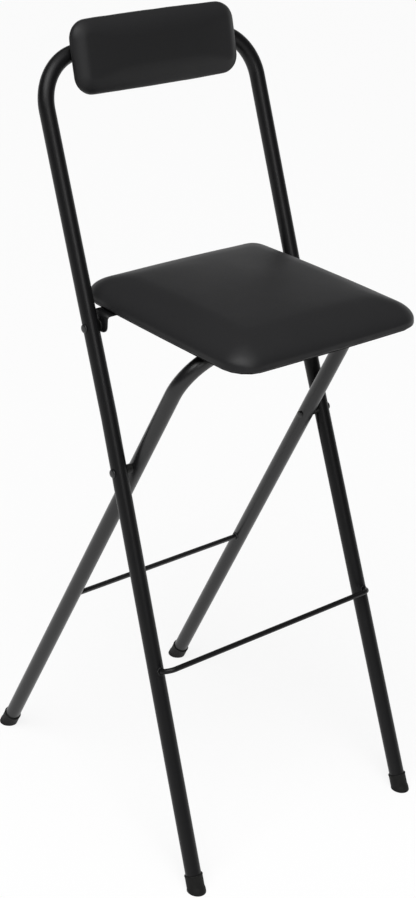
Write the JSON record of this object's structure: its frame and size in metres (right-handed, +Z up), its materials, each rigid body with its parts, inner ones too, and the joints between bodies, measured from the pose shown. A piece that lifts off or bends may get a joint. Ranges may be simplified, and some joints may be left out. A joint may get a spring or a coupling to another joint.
{
  "type": "folding bar stool",
  "caption": "Folding bar stool with crossed tube frames, footrest rods, an upholstered square seat and a padded backrest.",
  "frame": {"origin": "on the floor, midway between the front and the rear feet, on the middle line", "axes": "+Z up, -Y the way the sitter faces, +X to the right of someone who looks along +Y at the front"},
  "size_m": [0.4252, 0.5088, 1.1011],
  "materials": {
    "front_frame_paint": "satin black powder coat",
    "rear_frame_paint": "satin black powder coat",
    "foot_rubber": "moulded matt",
    "spacer_plastic": "moulded",
    "rivet_steel": "satin black",
    "screw_steel": "zinc plated",
    "cover_vinyl": "fine-grained black vinyl",
    "board_wood": "black painted plywood"
  },
  "bodies": {
    "front_frame": {"front_frame_tube": "front_frame_paint", "front_footrest_rod": "front_frame_paint", "front_left_foot_cap": "foot_rubber", "front_right_foot_cap": "foot_rubber", "main_pivot_rivet_left": "rivet_steel", "main_pivot_rivet_right": "rivet_steel", "main_pivot_spacer_left": "spacer_plastic", "main_pivot_spacer_right": "spacer_plastic", "seat_pivot_rivet_left": "rivet_steel", "seat_pivot_rivet_right": "rivet_steel", "seat_pivot_washer_left": "spacer_plastic", "seat_pivot_washer_right": "spacer_plastic", "backrest_pad": "cover_vinyl", "backrest_board": "board_wood", "backrest_tee_nut_left": "screw_steel", "backrest_tee_nut_right": "screw_steel", "backrest_screw_left": "front_frame_paint", "backrest_screw_right": "front_frame_paint"},
    "rear_frame": {"rear_frame_tube": "rear_frame_paint", "rear_footrest_rod": "rear_frame_paint", "rear_left_foot_cap": "foot_rubber", "rear_right_foot_cap": "foot_rubber"},
    "seat": {"seat_cushion": "cover_vinyl", "seat_board": "board_wood", "seat_pivot_strap": "front_frame_paint", "seat_stop_strip": "front_frame_paint", "strap_screw_left_1": "screw_steel", "strap_screw_left_2": "screw_steel", "strap_screw_right_1": "screw_steel", "strap_screw_right_2": "screw_steel", "stop_strip_screw_left_1": "screw_steel", "stop_strip_screw_left_2": "screw_steel", "stop_strip_screw_right_1": "screw_steel", "stop_strip_screw_right_2": "screw_steel"}
  },
  "joints": [
    {"name": "seat_fold", "type": "hinge", "parent": "front_frame", "child": "seat", "pos_m": [0, 0.05358, 0.723], "axis": [-1, 0, 0], "range_deg": [0, 112.1]},
    {"name": "frame_fold", "type": "hinge", "parent": "front_frame", "child": "rear_frame", "pos_m": [0, -0.02034, 0.54095], "axis": [-1, 0, 0], "range_deg": [0, 47.8]}
  ],
  "couplings": [
    {"joint": "frame_fold", "follows": "seat_fold", "ratio": 0.4264}
  ]
}
